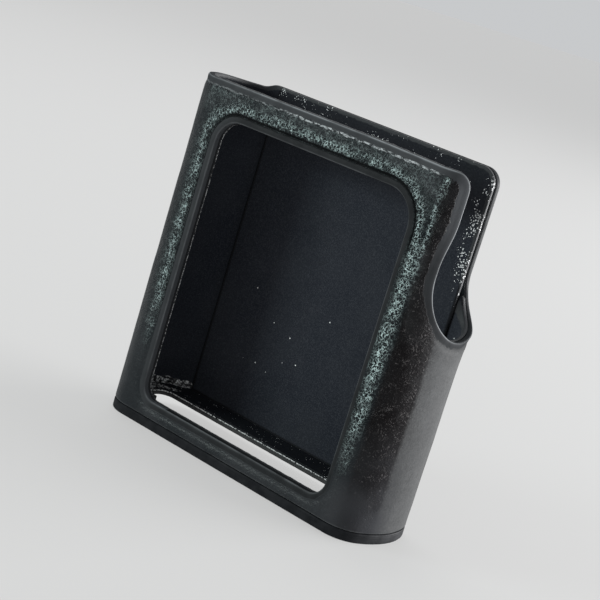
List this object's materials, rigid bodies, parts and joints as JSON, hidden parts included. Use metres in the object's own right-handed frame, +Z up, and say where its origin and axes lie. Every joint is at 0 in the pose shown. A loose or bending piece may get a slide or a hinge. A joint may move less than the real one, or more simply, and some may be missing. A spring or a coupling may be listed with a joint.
{
  "type": "pocket radio case",
  "caption": "Open-topped black leather sleeve for a small pocket radio, with a display window, a thumb notch in one side and a slotted floor.",
  "frame": {"origin": "centre of the sleeve's plan, on the surface that the sole rests on", "axes": "+Z up through the open mouth, +X towards the end with the thumb notch, +Y from the window towards the back"},
  "size_m": [0.063, 0.0194, 0.0643],
  "materials": {
    "outer_leather": "fine pebble grain, semi-gloss",
    "sole_leather": "smooth, satin",
    "stiffener": "fibreboard with a dark painted edge",
    "microfibre": "matte short nap"
  },
  "bodies": {
    "root": {"outer_wrap": "outer_leather", "sole": "sole_leather", "front_board": "stiffener", "back_board": "stiffener", "base_board": "stiffener", "floor_board": "stiffener", "front_lining": "microfibre", "back_lining": "microfibre", "left_lining": "microfibre", "right_lining": "microfibre", "floor_lining": "microfibre"}
  },
  "joints": []
}
